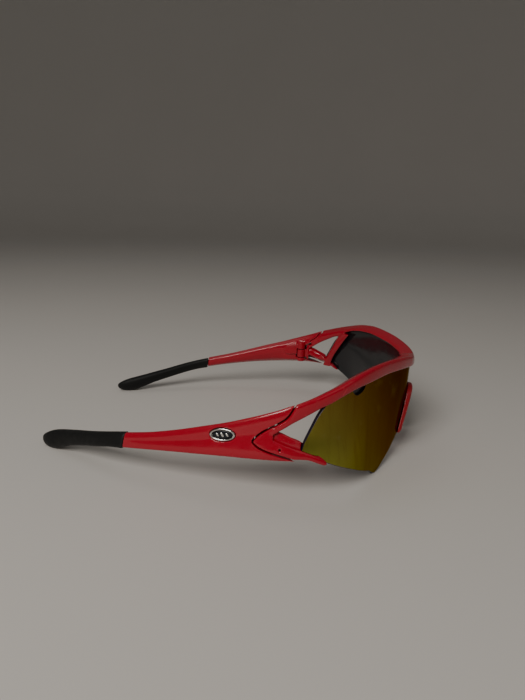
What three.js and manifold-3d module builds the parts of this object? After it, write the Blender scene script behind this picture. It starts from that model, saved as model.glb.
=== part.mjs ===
// Wrap-around sport sunglasses: one-piece front frame with forked ends, shield lens in a groove,
// clip-on nose bridge with two pads, two folding temples with rubber tips and an oval badge each.
// Millimetres. +Z up, the front faces -Y, +X is the wearer's left. The glasses stand on the two
// lobes of the lens and on the two temple tips, all at Z = 0.
import * as THREE from 'three';
import * as BufferGeometryUtils from 'three/addons/utils/BufferGeometryUtils.js';
import Module from 'manifold-3d';

const wasm = await Module();
wasm.setup();

// ---- driving dimensions -------------------------------------------------------------------
const LENGTH_OFFSET_Y = -81.25;   // puts the middle of the length at Y = 0
const GAP = 0.3;                 // clearance between touching pieces
const LENS_T = 1.8;              // lens thickness
const LENS_D = -1.1;             // lens outer face, measured inwards from the wrap surface
const ARM_T = 4.5;               // wall thickness of the forked ends and of the temple root
const BROW_T = 5.4;              // depth of the brow bar
const HINGE_X = 63.9;            // hinge axis, from the middle plane
const HINGE_Y = 57.5;            // hinge axis, from the front of the wrap surface
const KNUCKLE_R = 2.4;
const KNUCKLE_LOW = [20.0, 22.0];
const KNUCKLE_MID = [22.4, 27.1];
const KNUCKLE_TOP = [27.5, 31.6];
const SCREW_R = 0.7;
const SCREW_HEAD_R = 1.3;
const TONGUE = [1.5, 0.95];      // half height and half width of the tongue inside a rubber tip
const BADGE_S = 110.3;
const BADGE_Z = 25.7;
const BADGE_RX = 5.0;
const BADGE_RZ = 2.45;

// ---- one-dimensional curves through knots -------------------------------------------------
function curve(knots) {
  const n = knots.length;
  const m = knots.map((k, i) => {
    const a = knots[Math.max(0, i - 1)], b = knots[Math.min(n - 1, i + 1)];
    return (b[1] - a[1]) / (b[0] - a[0]);
  });
  return (t) => {
    if (t <= knots[0][0]) return knots[0][1] + (t - knots[0][0]) * m[0];
    if (t >= knots[n - 1][0]) return knots[n - 1][1] + (t - knots[n - 1][0]) * m[n - 1];
    let i = 0;
    while (t > knots[i + 1][0]) i++;
    const h = knots[i + 1][0] - knots[i][0], u = (t - knots[i][0]) / h;
    const u2 = u * u, u3 = u2 * u;
    return (2 * u3 - 3 * u2 + 1) * knots[i][1] + (u3 - 2 * u2 + u) * h * m[i]
      + (3 * u2 - 2 * u3) * knots[i + 1][1] + (u3 - u2) * h * m[i + 1];
  };
}
const line = (knots) => (t) => {
  if (t <= knots[0][0]) return knots[0][1];
  for (let i = 0; i < knots.length - 1; i++) {
    if (t <= knots[i + 1][0]) {
      const u = (t - knots[i][0]) / (knots[i + 1][0] - knots[i][0]);
      return knots[i][1] + u * (knots[i + 1][1] - knots[i][1]);
    }
  }
  return knots[knots.length - 1][1];
};

// ---- wrap surface: plan curve by arc length from the middle ---------------------------------
const PLAN = [
  [0, 0, -1.3], [8, 7.95, -0.4], [16, 15.6, 2.6], [22.7, 21.8, 5.6], [32.7, 30.7, 10.6], [39.4, 36.5, 13.9],
  [44.7, 41.0, 16.7], [50.2, 45.6, 19.8], [54.6, 49.2, 22.5], [60.3, 53.6, 26.1], [65.3, 57.2, 29.5],
  [69.9, 60.2, 33.0], [73, 62.0, 35.5], [76.5, 63.8, 38.5], [80.7, 65.6, 42.4], [84.4, 66.8, 46.0],
  [88.5, 67.6, 49.9], [94.2, 68.1, 55.6], [99.8, 68.2, 61.2], [109.2, 68.0, 70.7], [119, 67.3, 80.4],
  [129.5, 65.9, 90.8], [140.8, 63.9, 102.0], [151.8, 61.6, 112.6], [161.5, 59.0, 122.0],
  [170.3, 56.0, 130.1], [180, 51.8, 138.7], [188, 48.3, 146.0], [197, 44.6, 154.4], [206.3, 41.5, 163.5], [208.5, 41.0, 165.7],
];
const planX = curve([[-8, -7.95], ...PLAN.map((k) => [k[0], k[1]])]);
const planY = curve([[-8, -0.4], ...PLAN.map((k) => [k[0], k[2]])]);
function wall(s) {
  const a = Math.abs(s), e = 0.05, sg = s < 0 ? -1 : 1;
  const tx = planX(a + e) - planX(a - e), ty = planY(a + e) - planY(a - e), l = Math.hypot(tx, ty);
  return { x: sg * planX(a), y: planY(a), nx: sg * ty / l, ny: -tx / l };
}
// The wrap surface is upright above FLARE_TOP and flares outwards below it.
const flareBy = curve([[30, 0], [42, 0.4], [50, 1.6], [60, 2.9], [70, 3.4], [84, 3.2], [96, 3.0], [105, 2.7], [110, 2.5], [119, 2.2], [130, 1.8], [141, 1.4], [152, 1.0], [170, 0.7], [190, 0.4], [212, 0.2]]);
const flareTop = curve([[0, 30], [84, 30], [92, 29], [100, 27.4], [110, 25], [120, 22.8], [130, 20.8], [141, 18.7], [152, 16.8], [170, 12.6], [190, 7.2], [212, 4]]);
const flareSpan = curve([[0, 14], [84, 13], [92, 11.5], [100, 10], [110, 8.6], [120, 7], [130, 5.8], [141, 4.7], [152, 4.2], [212, 4]]);
function flare(s, z) {
  const a = Math.abs(s);
  return Math.max(0, flareBy(Math.max(30, a))) * Math.min(1.15, Math.max(0, (flareTop(a) - z) / flareSpan(a))) ** 1.2;
}
function W(s, z, d) {
  const w = wall(s), e = d + flare(s, z);
  return [w.x + w.nx * e, w.y + w.ny * e + LENGTH_OFFSET_Y, z];
}
// Share of the flare that the inner faces don't follow, so the wall is thicker round the hinge.
const upright = (s) => smooth((s - 80) / 7) * (1 - smooth((s - 103) / 9));

// ---- solids ---------------------------------------------------------------------------------
function solidFromGeometry(geometry) {
  const g = geometry.clone();
  for (const name of Object.keys(g.attributes)) if (name !== 'position') g.deleteAttribute(name);
  const m = BufferGeometryUtils.mergeVertices(g, 1e-4);
  return new wasm.Manifold(new wasm.Mesh({
    numProp: 3,
    vertProperties: new Float32Array(m.attributes.position.array),
    triVerts: new Uint32Array(m.index.array),
  }));
}
function geometryFromSolid(solid) {
  const mesh = solid.getMesh();
  const g = new THREE.BufferGeometry();
  g.setAttribute('position', new THREE.BufferAttribute(new Float32Array(mesh.vertProperties), 3));
  g.setIndex(new THREE.BufferAttribute(new Uint32Array(mesh.triVerts), 1));
  g.computeVertexNormals();
  return g;
}
// A closed body through loops of equal point count, closed by triangulated end faces.
function loft(loops) {
  const n = loops[0].length, pos = loops.flat(2), idx = [];
  for (let i = 0; i < loops.length - 1; i++) {
    for (let j = 0; j < n; j++) {
      const a = i * n + j, b = i * n + (j + 1) % n, c = a + n, d = b + n;
      idx.push(a, b, c, b, d, c);
    }
  }
  for (const [k, flip] of [[0, true], [loops.length - 1, false]]) {
    const L = loops[k].map((p) => new THREE.Vector3(...p));
    const c = new THREE.Vector3();
    for (let j = 0; j < n; j++) {
      const p = L[j], q = L[(j + 1) % n];
      c.x += (p.y - q.y) * (p.z + q.z); c.y += (p.z - q.z) * (p.x + q.x); c.z += (p.x - q.x) * (p.y + q.y);
    }
    c.normalize();
    const u = new THREE.Vector3(Math.abs(c.z) < 0.9 ? 0 : 1, 0, Math.abs(c.z) < 0.9 ? 1 : 0);
    u.addScaledVector(c, -u.dot(c)).normalize();
    const v = new THREE.Vector3().crossVectors(c, u);
    const flat = L.map((p) => new THREE.Vector2(p.dot(u), p.dot(v)));
    for (const t of THREE.ShapeUtils.triangulateShape(flat, [])) {
      const o = t.map((x) => k * n + x);
      if (flip) idx.push(o[0], o[2], o[1]); else idx.push(o[0], o[1], o[2]);
    }
  }
  let vol = 0;
  const P = (i) => [pos[3 * i], pos[3 * i + 1], pos[3 * i + 2]];
  for (let i = 0; i < idx.length; i += 3) {
    const [a, b, c] = [P(idx[i]), P(idx[i + 1]), P(idx[i + 2])];
    vol += a[0] * (b[1] * c[2] - b[2] * c[1]) - a[1] * (b[0] * c[2] - b[2] * c[0]) + a[2] * (b[0] * c[1] - b[1] * c[0]);
  }
  if (vol < 0) for (let i = 0; i < idx.length; i += 3) [idx[i + 1], idx[i + 2]] = [idx[i + 2], idx[i + 1]];
  const g = new THREE.BufferGeometry();
  g.setAttribute('position', new THREE.Float32BufferAttribute(pos, 3));
  g.setIndex(idx);
  return solidFromGeometry(g);
}
// A loft along the wrap surface: section(s) gives the loop as [z, d] or [z, d, s].
const wrapLoft = (stations, section) => loft(stations.map((s) => section(s).map(([z, d, s2]) => W(s2 ?? s, z, d))));
// A prism along X through a [y, z] outline (y measured from the front of the wrap surface).
function prismX(points, x0, x1) {
  const shape = new THREE.Shape(points.map(([y, z]) => new THREE.Vector2(y + LENGTH_OFFSET_Y, z)));
  const g = new THREE.ExtrudeGeometry(shape, { depth: x1 - x0, bevelEnabled: false });
  g.applyMatrix4(new THREE.Matrix4().set(0, 0, 1, x0, 1, 0, 0, 0, 0, 1, 0, 0, 0, 0, 0, 1));
  return solidFromGeometry(g);
}
// A round bar standing on the XY plane.
function post(x, y, r, z0, z1, sides = 16) {
  const g = new THREE.CylinderGeometry(r, r, z1 - z0, sides);
  g.rotateX(Math.PI / 2);
  g.translate(x, y + LENGTH_OFFSET_Y, (z0 + z1) / 2);
  return solidFromGeometry(g);
}
const range = (a, b, n) => Array.from({ length: n + 1 }, (_, i) => a + (b - a) * i / n);
const mirrorX = (solid) => solid.mirror([1, 0, 0]);
const smooth = (t) => { const u = Math.min(1, Math.max(0, t)); return u * u * (3 - 2 * u); };

// ---- front frame ----------------------------------------------------------------------------
// Mouth line between the forked end of the frame and the temple, as [s, z] pairs.
const MOUTH_UP = [[83.3, 39.0], [83.8, 37.8], [84.5, 36.6], [85.6, 34.9], [87, 33.5], [90.5, 31.2], [94.2, 29.0], [97.1, 26.8], [98.7, 25.0]];
const MOUTH_LOW = [[82.6, 18.3], [83.9, 18.6], [86.5, 19.4], [90.2, 20.4], [94, 21.5], [96.6, 22.5], [98.3, 23.7], [98.7, 24.4]];
const HALF_GAP = 0.26;

const browTop = curve([[0, 44.9], [8, 45.7], [16, 47.0], [24, 48.0], [33, 48.6], [41.8, 48.7], [48.5, 48.1], [55.2, 47.0], [65.8, 44.3], [74.3, 41.8], [81.8, 39.4], [84, 38.7]]);
const browLow = curve([[0, 40.4], [8, 40.9], [16, 41.8], [22.7, 42.5], [32.7, 43.1], [39.4, 43.1], [44.7, 42.8], [50.2, 42.4], [54.6, 42.0], [60.3, 40.9], [65.3, 39.5], [69.9, 37.9], [73, 37.1], [77.9, 34.9], [83.3, 32.2], [88.3, 29.3], [93, 26.4]]);
const browDepth = curve([[0, 6.2], [20, 5.4], [45, 5.2], [66, BROW_T], [74, 5.4], [82, 4.8], [88, ARM_T], [99, ARM_T]]);
const browProud = curve([[0, 0.5], [50, 0.5], [62, 0.3], [74, 0], [99, 0]]);
const browSlope = curve([[0, 0.5], [12, 0.7], [28, 2.0], [60, 2.3], [84, 2.0], [99, 1.6]]);
const browLip = curve([[0, 2.0], [20, 2.3], [50, 2.3], [62, 1.2], [68, 0], [99, 0]]);

const mouthUp = line(MOUTH_UP), mouthLow = line(MOUTH_LOW);
const upperTop = (s) => (s < 83.0 ? browTop(s) : Math.min(browTop(s), mouthUp(s + HALF_GAP) - HALF_GAP));

const lensTopGroove = (s) => browLow(s) + 3.0;

function browSection(s) {
  const a = Math.abs(s), zt = upperTop(a), zb = browLow(a), t = browDepth(a), zi = zb + Math.max(0, browLip(a));
  const k = a > 83 ? Math.max(0.35, Math.min(1, (zt - zb) / 5)) : 1;
  const o = browProud(a), f = browSlope(a) * k;
  return [[zb, -0.6 * k + o], [zb + 0.6 * k, o], [zt - 1.2 * k, o - 0.05], [zt - 0.3 * k, o - 0.6], [zt, o - 1.4], [zt - 0.75 * f, -t + 1.0], [zt - f - 0.5 * k, -t], [Math.min(zi, zt - f - 0.9 * k), -t], [Math.min(zi, zt - f - 0.9 * k), -2.95], [zb - 0.04, -2.8]];
}
const browStations = [...range(0, 72, 20), 74.5, 77, 79.5, 82, 83.0, 83.5, 84.2, 85.3, 86.7, 88.5, 90.5, 92.5];
const brow = wrapLoft([...browStations.slice(1).reverse().map((s) => -s), ...browStations], browSection);

// Hub of the fork: fills the mouth back to its apex.
const hubStations = [91.2, 92.3, 94.2, 95.7, 97.1, 97.9, 98.45];
const hub = wrapLoft(hubStations, (s) => {
  const zt = mouthUp(s + HALF_GAP) - HALF_GAP, zb = mouthLow(s + HALF_GAP) + HALF_GAP, k = Math.min(0.5, (zt - zb) / 4);
  return [[zb, -0.4], [zb + k, 0], [zt - k, 0], [zt, -0.4], [zt, -ARM_T + 0.3], [zt - k, -ARM_T], [zb + k, -ARM_T - flare(s, zb)], [zb, -ARM_T + 0.3 - flare(s, zb)]];
});

// Lower arm: outer crease, scooped face rising inwards to the window.
const lowBottom = curve([[71.9, 15.9], [72.6, 15.7], [73.6, 16.0], [75.5, 16.9], [78.2, 18.1], [80.9, 18.6], [83.6, 18.8], [86.5, 19.7], [90.2, 20.65], [92.5, 21.3]]);
const lowCrease = curve([[71.9, 16.7], [72.6, 17.4], [74.2, 18.5], [77.1, 20.1], [79.9, 21.4], [81.8, 22.1], [86.7, 23.8], [91.5, 25.6], [92.5, 25.9]]);
const lowWindow = curve([[71.9, 17.2], [73.6, 19.0], [77.1, 21.9], [80.7, 24.8], [84.5, 26.5], [88.3, 28.1], [90.5, 28.4], [92.5, 27]]);
const lowDepth = curve([[71.9, 4.4], [73.4, 5.4], [80, 5.8], [84, 5.0], [88, ARM_T], [93, ARM_T]]);
const lowerArm = wrapLoft([71.9, 72.5, 73.4, 74.6, 76, 78, 80, 82, 84, 86, 88.2, 90.4, 92.5], (s) => {
  const b = lowBottom(s), c = Math.max(b + 0.5, lowCrease(s)), w = Math.max(c + 0.2, lowWindow(s)), t = lowDepth(s);
  const st = Math.min(1, (w - c) / 2.5), ib = Math.min(b + Math.min(2.8, (w - b) * 0.4), w - 1.5 * st - 0.7);
  return [[b, -0.8], [b + 0.4, -0.1], [c, 0], [c + (w - c) * 0.12, -1.3 * st], [c + (w - c) * 0.6, -1.75 * st], [w, -2.0 * st - 0.1], [w - 1.2 * st, -t + 0.3], [w - 1.5 * st, -t], [ib + 0.3, -t - upright(s) * flare(s, ib)], [ib, -t + 0.7 - upright(s) * flare(s, ib)]];
});

// Strut between the arms, behind the lens edge.
const lensEdge = curve([[18.5, 81.4], [21.8, 80.6], [24.4, 79.7], [27.1, 78.2], [30.1, 76.4], [34.1, 73.8], [36.6, 71.8], [38.4, 70.2], [42, 67.4]]);
function stationAt(y, z, d) {
  let lo = 30, hi = 110;
  for (let i = 0; i < 40; i++) { const m = (lo + hi) / 2; if (W(m, z, d)[1] - LENGTH_OFFSET_Y < y) lo = m; else hi = m; }
  return lo;
}
const strutRear = curve([[17.0, 44.2], [21.5, 42.7], [26, 40.9], [30, 39.1], [34, 37.3], [38.6, 34.9], [42, 32.9]]);
const strutFront = curve([[17.0, 39.6], [22, 38.8], [26, 37.4], [29.2, 35.9], [36, 32.2], [42.5, 28.3]]);
const STRUT_D = [LENS_D - LENS_T - GAP - 0.05, -5.9];
const strut = loft(range(18.2, 40.6, 8).map((z) => {
  const y = (k, d) => W(stationAt(k, z, d), z, d);
  const f = strutFront(z), r = strutRear(z);
  return [y(f, STRUT_D[0]), y(r, STRUT_D[0]), y(r, STRUT_D[1] + 0.6), y(r - 0.8, STRUT_D[1]), y(f + 0.8, STRUT_D[1]), y(f, STRUT_D[1] + 0.5)];
}));

// ---- lens -----------------------------------------------------------------------------------
const lensBottom = [
  [0, 27.9], [2.4, 27.5], [4.3, 25.9], [6.0, 22.7], [7.6, 18.9], [9.4, 15.2], [11.6, 11.9], [15.6, 9.6], [20.6, 7.4],
  [25.7, 5.1], [30.3, 2.7], [32.6, 1.1], [34.2, 0.0], [37.4, 0.0], [39.4, 1.2], [43.2, 3.0], [46.5, 4.3], [50.6, 6.1], [57.3, 9.3], [63.1, 12.0], [67.3, 14.0], [70.7, 15.7],
];
const lensLow = line([...lensBottom, [72.4, 16.6], [77, 18.9], [79.5, 20.2], [80.9, 21.2]]);
const lensFace = (s, z) => LENS_D - 1.5 * Math.max(0, (43 - z) / 33) * (1 - smooth((Math.abs(s) - 10) / 22));
const lensTopEdge = (s) => browLow(Math.abs(s)) + 2.5;
const lensHigh = (s) => {
  const a = Math.abs(s);
  if (a < 67.4) return lensTopEdge(a);
  // beyond the strut the lens ends at its outer edge
  let z = lensTopEdge(a);
  while (z > 18 && lensEdge(z) < a) z -= 0.05;
  return z;
};
function lensSolid(grow, thick) {
  const st = [0, 1.2, 2.4, 4.3, 6.0, 7.6, 9.4, 11.6, 13.6, 15.6, 20.6, 25.7, 30.3, 32.6, 34.2, 37.4, 39.4, 43.2, 46.5, 50.6, 54, 57.3, 60.2, 63.1, 65.2, 67.3, 69, 70.7, 72.4, 74, 75.6, 77, 78.2, 79.2, 80, 80.55];
  const rows = 5;
  const stations = [...st.slice(1).reverse().map((s) => -s), ...st];
  const scale = (80.55 + grow) / 80.55;
  return wrapLoft(stations, (s0) => {
    const a = Math.abs(s0), s = s0 * (a > 60 ? 1 + (scale - 1) * smooth((a - 60) / 20.5) : 1);
    const low = Math.min(lensLow(a) - grow, lensHigh(a) - 0.5), high = lensHigh(a) + grow;
    const loop = [];
    for (let i = 0; i <= rows; i++) { const z = low + (high - low) * i / rows; loop.push([z, lensFace(s, z) + thick, s]); }
    for (let i = rows; i >= 0; i--) { const z = low + (high - low) * i / rows; loop.push([z, lensFace(s, z) - LENS_T - thick, s]); }
    return loop;
  });
}
// Blind recess moulded into the outer face at the top edge of each lobe.
const ventNotch = (() => {
  const w = wall(53.3), c = new THREE.Vector2(w.x, w.y);
  const pts = [[-4.2, 46], [-4.0, 41.2], [-2.2, 39.4], [1.0, 38.5], [2.6, 39.2], [4.2, 41.0], [4.4, 46]];
  const shape = new THREE.Shape(pts.map(([u, z]) => new THREE.Vector2(u, z)));
  const g = new THREE.ExtrudeGeometry(shape, { depth: 9, bevelEnabled: false });
  const t = new THREE.Vector3(-w.ny, w.nx, 0), n = new THREE.Vector3(w.nx, w.ny, 0);
  g.applyMatrix4(new THREE.Matrix4().set(
    t.x, 0, -n.x, c.x + n.x * (8 + LENS_D), t.y, 0, -n.y, c.y + n.y * (8 + LENS_D) + LENGTH_OFFSET_Y, 0, 1, 0, 0, 0, 0, 0, 1));
  return g;
})();
function orient(g) {
  // reverse the triangles when the placement mirrors the geometry
  const p = g.attributes.position, idx = g.index ? g.index.array : Array.from({ length: p.count }, (_, i) => i);
  let vol = 0;
  const V = (i) => new THREE.Vector3().fromBufferAttribute(p, i);
  for (let i = 0; i < idx.length; i += 3) vol += V(idx[i]).dot(V(idx[i + 1]).cross(V(idx[i + 2])));
  const out = g.clone();
  if (vol < 0) {
    const r = Array.from(idx);
    for (let i = 0; i < r.length; i += 3) [r[i + 1], r[i + 2]] = [r[i + 2], r[i + 1]];
    out.setIndex(r);
  } else out.setIndex(Array.from(idx));
  return out;
}
const vent = solidFromGeometry(orient(ventNotch));
const lens = lensSolid(0, 0).subtract(vent).subtract(mirrorX(vent));
const lensClear = lensSolid(GAP + 0.1, GAP);

const knuckleMid = post(HINGE_X, HINGE_Y, KNUCKLE_R, KNUCKLE_MID[0], KNUCKLE_MID[1], 20);
const screwBore = post(HINGE_X, HINGE_Y, SCREW_R + GAP, 10, KNUCKLE_TOP[1] - 0.8, 14);
const topRelief = post(HINGE_X, HINGE_Y, 3.35, KNUCKLE_MID[1] + 0.02, 36, 20);
const lowRelief = post(HINGE_X, HINGE_Y, 3.35, 12, KNUCKLE_MID[0] - 0.02, 20);
// Small blind hole in the lower arm.
const pinHole = prismX(range(0, 9, 9).map((i) => [49.9 + 0.42 * Math.cos(i * Math.PI / 5), 22.3 + 0.42 * Math.sin(i * Math.PI / 5)]), 65.6, 70);
// Space of the temple above and below the fork, cut straight through along X.
const Y = (s) => planY(s);
const aboveFork = prismX([[Y(83.3) - 0.2, 52], ...MOUTH_UP.map(([s, z]) => [Y(s) - 0.2, z - HALF_GAP]), [Y(98.7) + 0.2, 24.9], [Y(112), 24.9], [Y(112), 52]], 50, 80);
const belowFork = prismX([[Y(82.4), 10], [Y(82.4), 17.4], ...MOUTH_LOW.slice(1).map(([s, z]) => [Y(s) - 0.1, z + HALF_GAP]), [Y(98.7) + 0.2, 24.4], [Y(112), 24.4], [Y(112), 10]], 50, 80);
const frameSide = hub.add(lowerArm).add(strut).add(knuckleMid).subtract(topRelief).subtract(lowRelief).subtract(screwBore).subtract(pinHole);
const frontFrame = brow.subtract(aboveFork).subtract(mirrorX(aboveFork)).subtract(topRelief).subtract(mirrorX(topRelief)).add(frameSide).add(mirrorX(frameSide)).subtract(lensClear);

// ---- nose bridge and pads -------------------------------------------------------------------
const ARCH = [[0, 28.9], [2.6, 28.4], [4.9, 26.6], [6.6, 23.4], [8.2, 19.6], [9.9, 15.8], [11.5, 12.4], [12.5, 10.2]];
const archX = curve(ARCH.map((p, i) => [i, p[0]])), archZ = curve(ARCH.map((p, i) => [i, p[1]]));
function archFrame(u) {
  const a = Math.abs(u), sg = u < 0 ? -1 : 1, e = 0.02;
  const x = archX(a), z = archZ(a);
  let tx = archX(a + e) - archX(Math.max(0, a - e)), tz = archZ(a + e) - archZ(Math.max(0, a - e));
  if (a < 0.05) { tx = 1; tz = 0; }
  const l = Math.hypot(tx, tz);
  return { x: sg * x, z, ox: sg * (-tz / l), oz: tx / l, y: planY(Math.abs(x)) - lensFace(x, z) };
}
const bridgeArch = loft([...range(-7, 7, 28)].map((u) => {
  const f = archFrame(u), k = Math.abs(u) > 6.9 ? 0.55 : Math.abs(u) > 6.4 ? 0.9 : 1, y0 = f.y - (1.3 + 1.3 * (1 - smooth((Math.abs(u) - 0.8) / 5.5))) * k, y1 = f.y + LENS_T + 2.2 * k, h = 1.65 * k;
  const P = (o, y) => [f.x + f.ox * o, y + LENGTH_OFFSET_Y, f.z + f.oz * o];
  return [P(-h, y0 + 0.7), P(-h * 0.5, y0), P(h * 0.5, y0), P(h, y0 + 0.7), P(h, y1 - 0.5), P(h - 0.5, y1), P(-h + 0.5, y1), P(-h, y1 - 0.5)];
}));
const wing = loft(range(0, 1, 6).map((t) => {
  const z = 23.2 - t * 12.8, f = archFrame(3.1 + t * 3.4), x = f.x + 0.2, y0 = f.y + LENS_T + 1.2, y1 = y0 + 5.2 * Math.sin(Math.PI * (0.18 + 0.7 * t));
  return [[x - 0.7, y0 + LENGTH_OFFSET_Y, z], [x + 0.7, y0 + LENGTH_OFFSET_Y, z], [x + 0.9 + 0.5, y1 + LENGTH_OFFSET_Y, z], [x - 0.5 + 0.5, y1 + LENGTH_OFFSET_Y, z]];
}));
const noseBridge = bridgeArch.add(wing).add(mirrorX(wing)).subtract(lensClear);
const padLoft = loft(range(0, 1, 10).map((t) => {
  const z = 24.2 - t * 15.2, f = archFrame(2.9 + t * 3.75), k = Math.sqrt(Math.max(0.04, 1 - (2 * t - 1) ** 2));
  const yc = f.y + LENS_T + 6.4, xc = f.x - 2.6, hy = 3.6 * k, hx = 1.25 * Math.max(0.35, k);
  return range(0, 9, 9).map((i) => {
    const a = i * Math.PI / 5;
    return [xc + hx * Math.cos(a) + 0.14 * hy * Math.sin(a), yc + hy * Math.sin(a) + LENGTH_OFFSET_Y, z];
  });
}));

// ---- temples ----------------------------------------------------------------------------------
const templeTop = curve([[81.5, 39.5], [84.4, 38.6], [90.7, 36.4], [99.8, 33.4], [109.2, 30.4], [119, 27.7], [129.5, 24.7], [140.8, 21.8], [151.8, 19.6], [161, 17.7], [170.3, 15.7]]);
const templeLow = curve([[81.5, 17.6], [90.2, 17.9], [99.6, 17.8], [109.2, 17.4], [119.1, 16.8], [129.7, 15.9], [141.1, 14.6], [154.7, 12.7], [161.5, 11.6]]);
const templeT = curve([[81.5, ARM_T + 0.1], [100, ARM_T + 0.1], [110, 4.4], [130, 4.0], [152, 3.9], [175, 4.3]]);
function templeSection(s) {
  const zt = templeTop(s), zb = templeLow(s), h = zt - zb, t = templeT(s), e = Math.min(1, h / 12), q = Math.min(1, h / 14) / h;
  const P = (v, d) => [zb + v * h, d - (d < -2 && v < 0.6 ? upright(s) * flare(s, zb + v * h) : 0), s + 0.6 * (0.5 - v) * smooth((s - 135) / 15)];
  return [P(0.0, -1.5), P(0.035, -0.85 * e), P(0.13, -0.3 * e), P(0.36, 0), P(0.62, -0.12), P(0.83, -0.5), P(0.95, -1.0), P(1.0, -1.7), P(1 - 1.3 * q, -t + 0.8), P(1 - 2.2 * q, -t), P(0.5, -t - 0.1), P(3.3 * q, -t), P(2.2 * q, -t + 0.7)];
}
const templeStations = [81.5, 84, 86.5, 89, 92, 95, 98, 101, 105, 110, 115, 120, 126, 132, 138, 144, 149, 154.05];
const tongueAxisZ = curve([[148, 16.9], [153.2, 16.1], [161, 14.7], [170.3, 12.4], [179, 10.0], [188, 7.8]]);
const tongueLoft = (gr, s0, s1) => wrapLoft(range(s0, s1, 8), (s) => {
  const z = tongueAxisZ(s), m = -templeT(s) / 2 - 0.1, a = TONGUE[0] + gr, b = TONGUE[1] + gr;
  return [[z - a, m - b * 0.6], [z - a * 0.6, m + b * -1], [z + a * 0.6, m - b], [z + a, m - b * 0.6], [z + a, m + b * 0.6], [z + a * 0.6, m + b], [z - a * 0.6, m + b], [z - a, m + b * 0.6]];
});
const mouthCut = prismX([
  [Y(70), 50], [Y(83.3) + 0.28, 50],
  ...MOUTH_UP.map(([s, z]) => [Y(s) + 0.2, z + HALF_GAP]),
  [Y(98.7) + 0.35, 24.8], [Y(98.7) + 0.3, 24.1],
  ...[...MOUTH_LOW].reverse().slice(1).map(([s, z]) => [Y(s) + 0.1, z - HALF_GAP]),
  [Y(82.4), 10], [Y(70), 10],
], 50, 80);
const innerPad = prismX([[59.8, 24.2], [66, 23.8], [67.2, 24.8], [67.2, 27.6], [66, 28.8], [59.8, 30.4]], HINGE_X - 1.4, HINGE_X + 1.5);
const knuckleTop = post(HINGE_X, HINGE_Y, KNUCKLE_R, KNUCKLE_TOP[0], KNUCKLE_TOP[1], 20);
const knuckleLow = post(HINGE_X, HINGE_Y, KNUCKLE_R, KNUCKLE_LOW[0], KNUCKLE_LOW[1], 20);
const midRelief = post(HINGE_X, HINGE_Y, KNUCKLE_R + 0.45, KNUCKLE_LOW[1], KNUCKLE_TOP[0], 20);
const headBore = post(HINGE_X, HINGE_Y, SCREW_HEAD_R + GAP, 10, KNUCKLE_LOW[0] + 0.9, 16);

// Badge frame: centre on the outer face, tilted with it.
const badgeMatrix = (() => {
  const w = wall(BADGE_S), rake = -0.07, tilt = 0.11;
  const n0 = new THREE.Vector3(w.nx, w.ny, 0), t0 = new THREE.Vector3(-w.ny, w.nx, 0), z0 = new THREE.Vector3(0, 0, 1);
  const t = t0.clone().multiplyScalar(Math.cos(rake)).addScaledVector(z0, Math.sin(rake));
  const up0 = z0.clone().multiplyScalar(Math.cos(rake)).addScaledVector(t0, -Math.sin(rake));
  const n = n0.clone().multiplyScalar(Math.cos(tilt)).addScaledVector(up0, Math.sin(tilt));
  const up = new THREE.Vector3().crossVectors(n, t).multiplyScalar(1);
  const c = W(BADGE_S, BADGE_Z, -0.5);
  return new THREE.Matrix4().makeBasis(t, up, n).setPosition(...c);
})();
function ovalPrism(rx, rz, d0, d1, hole, seg = 28) {
  const shape = new THREE.Shape();
  shape.setFromPoints(range(0, seg - 1, seg - 1).map((i) => new THREE.Vector2(rx * Math.cos(2 * Math.PI * i / seg), rz * Math.sin(2 * Math.PI * i / seg))));
  if (hole) shape.holes.push(new THREE.Path(range(0, seg - 1, seg - 1).map((i) => new THREE.Vector2(hole[0] * Math.cos(2 * Math.PI * i / seg), hole[1] * Math.sin(2 * Math.PI * i / seg)))));
  const g = new THREE.ExtrudeGeometry(shape, { depth: d1 - d0, bevelEnabled: false });
  g.translate(0, 0, d0);
  g.applyMatrix4(badgeMatrix);
  return solidFromGeometry(orient(g));
}
const pocket = ovalPrism(BADGE_RX + GAP, BADGE_RZ + GAP, -0.95, 3);
const bezel = ovalPrism(BADGE_RX, BADGE_RZ, -0.6, 0.55, [BADGE_RX - 0.95, BADGE_RZ - 0.8]);
const inlay = ovalPrism(BADGE_RX - 0.95 - GAP, BADGE_RZ - 0.8 - GAP, -0.6, 0.4);

const temple = wrapLoft(templeStations, templeSection)
  .subtract(mouthCut)
  .add(innerPad).add(knuckleTop).add(knuckleLow)
  .subtract(midRelief).subtract(screwBore).subtract(headBore)
  .subtract(pocket)
  .add(tongueLoft(0, 148, 186));
const screwShaft = post(HINGE_X, HINGE_Y, SCREW_R, 20.3, KNUCKLE_TOP[1] - 1.1, 14);
const screwHead = post(HINGE_X, HINGE_Y, SCREW_HEAD_R, 19.8, 20.6, 16);
const screw = screwShaft.add(screwHead);

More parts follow.
